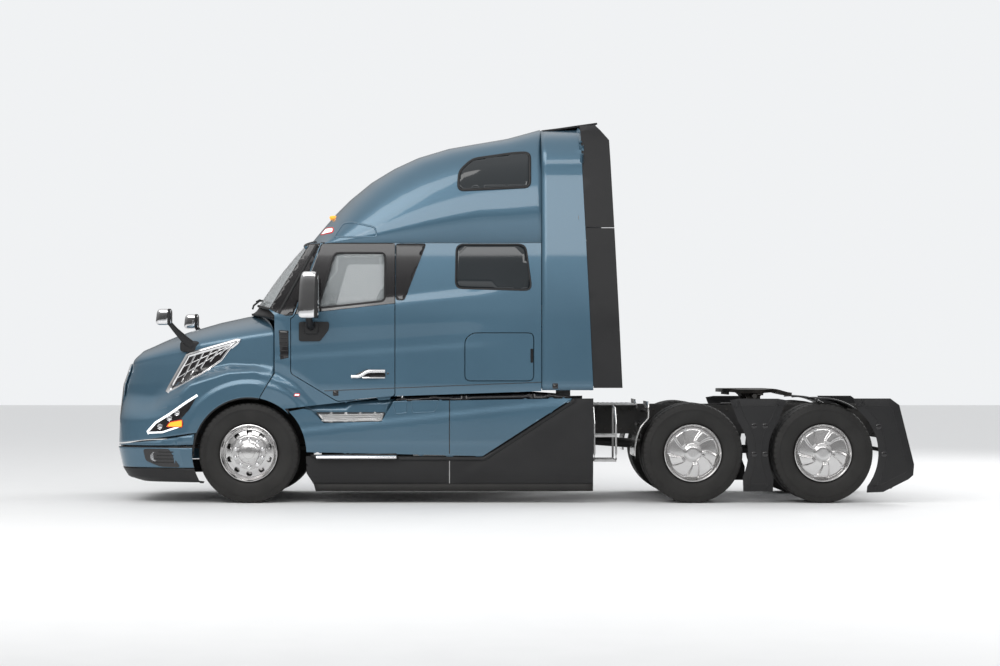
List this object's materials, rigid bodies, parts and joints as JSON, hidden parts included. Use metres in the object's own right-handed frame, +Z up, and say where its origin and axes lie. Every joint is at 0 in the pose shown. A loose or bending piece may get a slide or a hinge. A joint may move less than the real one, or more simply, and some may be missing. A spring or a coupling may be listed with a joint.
{
  "type": "semi truck tractor unit",
  "caption": "Conventional sleeper tractor with tipping hood, opening doors, steered front axle, twin wheels on two drive axles and a rocking coupling plate.",
  "frame": {"origin": "on the ground under the middle of the whole truck", "axes": "+X to the rear, +Y to the truck's right side, +Z up"},
  "size_m": [8.15, 2.96, 3.941],
  "materials": {
    "body_paint": "metallic blue clear coat",
    "black_plastic": "fine grained black",
    "chassis_paint": "black chassis paint",
    "cast_iron": "dark cast surface",
    "aluminium": "polished",
    "chrome": "bright plated",
    "tyre_rubber": "tyre black",
    "glass": "tinted",
    "lamp_lens": "clear lens",
    "trim_plastic": "grained",
    "seat_fabric": "woven cloth"
  },
  "bodies": {
    "chassis": {"frame": "chassis_paint", "front_axle": "chassis_paint", "suspension": "chassis_paint", "driveline": "chassis_paint", "engine": "cast_iron", "fuel_tanks": "aluminium", "bumper": "body_paint", "bumper_valance": "black_plastic", "side_fairings": "body_paint", "lower_fairings": "black_plastic", "cab_steps": "aluminium", "deck_plate": "aluminium", "quarter_fenders": "aluminium", "wheel_fairings": "black_plastic", "fifth_wheel_base": "chassis_paint", "tail_bar": "chassis_paint", "cab_floor": "trim_plastic", "cowl": "black_plastic", "cab_sides": "body_paint", "sleeper_back": "body_paint", "roof": "body_paint", "windscreen": "glass", "side_windows": "glass", "side_extenders": "black_plastic", "roof_spoiler": "black_plastic", "seats": "seat_fabric", "dashboard": "trim_plastic", "steering_wheel": "trim_plastic", "bunk_base": "trim_plastic", "mattress": "seat_fabric"},
    "hood": {"hood": "body_paint", "grille": "chrome", "headlamps": "lamp_lens", "hood_mirrors": "chrome"},
    "door_left": {"door_left": "body_paint", "door_glass_left": "glass", "door_mirror_left": "chrome"},
    "luggage_door_left": {"luggage_door_left": "body_paint"},
    "knuckle_left": {"knuckle_left": "cast_iron"},
    "front_wheel_left": {"front_tyre_left": "tyre_rubber", "front_rim_left": "aluminium"},
    "drive_wheels_left": {"drive_tyres_left": "tyre_rubber", "drive_rims_left": "aluminium"},
    "rear_wheels_left": {"rear_tyres_left": "tyre_rubber", "rear_rims_left": "aluminium"},
    "door_right": {"door_right": "body_paint", "door_glass_right": "glass", "door_mirror_right": "chrome"},
    "luggage_door_right": {"luggage_door_right": "body_paint"},
    "knuckle_right": {"knuckle_right": "cast_iron"},
    "front_wheel_right": {"front_tyre_right": "tyre_rubber", "front_rim_right": "aluminium"},
    "drive_wheels_right": {"drive_tyres_right": "tyre_rubber", "drive_rims_right": "aluminium"},
    "rear_wheels_right": {"rear_tyres_right": "tyre_rubber", "rear_rims_right": "aluminium"},
    "fifth_wheel": {"fifth_wheel": "chassis_paint"},
    "tie_rod": {"tie_rod": "cast_iron"}
  },
  "joints": [
    {"name": "hood_tilt", "type": "hinge", "parent": "chassis", "child": "hood", "pos_m": [-4.025, 0, 0.61], "axis": [0, -1, 0], "range_deg": [0, 70]},
    {"name": "door_left_swing", "type": "hinge", "parent": "chassis", "child": "door_left", "pos_m": [-2.239, -1.2, 1.8], "axis": [0, 0, -1], "range_deg": [0, 65]},
    {"name": "luggage_door_left_swing", "type": "hinge", "parent": "chassis", "child": "luggage_door_left", "pos_m": [-0.476, -1.2, 1.48], "axis": [0, 0, -1], "range_deg": [0, 90]},
    {"name": "door_right_swing", "type": "hinge", "parent": "chassis", "child": "door_right", "pos_m": [-2.239, 1.2, 1.8], "axis": [0, 0, 1], "range_deg": [0, 65]},
    {"name": "luggage_door_right_swing", "type": "hinge", "parent": "chassis", "child": "luggage_door_right", "pos_m": [-0.476, 1.2, 1.48], "axis": [0, 0, 1], "range_deg": [0, 90]},
    {"name": "fifth_wheel_rock", "type": "hinge", "parent": "chassis", "child": "fifth_wheel", "pos_m": [2.553, 0, 1.075], "axis": [0, 1, 0], "range_deg": [-10, 15]},
    {"name": "steer_left", "type": "hinge", "parent": "chassis", "child": "knuckle_left", "pos_m": [-2.665, -0.87, 0.508], "axis": [0, 0, 1], "range_deg": [-40, 40]},
    {"name": "steer_right", "type": "hinge", "parent": "chassis", "child": "knuckle_right", "pos_m": [-2.665, 0.87, 0.508], "axis": [0, 0, 1], "range_deg": [-40, 40]},
    {"name": "tie_rod_pivot", "type": "hinge", "parent": "knuckle_left", "child": "tie_rod", "pos_m": [-2.485, -0.87, 0.34], "axis": [0, 0, 1], "range_deg": [-41, 41]},
    {"name": "front_wheel_left_roll", "type": "hinge", "parent": "knuckle_left", "child": "front_wheel_left", "pos_m": [-2.665, -1.05, 0.508], "axis": [0, 1, 0], "continuous": true},
    {"name": "drive_wheels_left_roll", "type": "hinge", "parent": "chassis", "child": "drive_wheels_left", "pos_m": [1.835, -0.9, 0.508], "axis": [0, 1, 0], "continuous": true},
    {"name": "rear_wheels_left_roll", "type": "hinge", "parent": "chassis", "child": "rear_wheels_left", "pos_m": [3.155, -0.9, 0.508], "axis": [0, 1, 0], "continuous": true},
    {"name": "front_wheel_right_roll", "type": "hinge", "parent": "knuckle_right", "child": "front_wheel_right", "pos_m": [-2.665, 1.05, 0.508], "axis": [0, 1, 0], "continuous": true},
    {"name": "drive_wheels_right_roll", "type": "hinge", "parent": "chassis", "child": "drive_wheels_right", "pos_m": [1.835, 0.9, 0.508], "axis": [0, 1, 0], "continuous": true},
    {"name": "rear_wheels_right_roll", "type": "hinge", "parent": "chassis", "child": "rear_wheels_right", "pos_m": [3.155, 0.9, 0.508], "axis": [0, 1, 0], "continuous": true}
  ],
  "couplings": [
    {"joint": "steer_right", "follows": "steer_left", "ratio": 1},
    {"joint": "tie_rod_pivot", "follows": "steer_left", "ratio": -1}
  ]
}
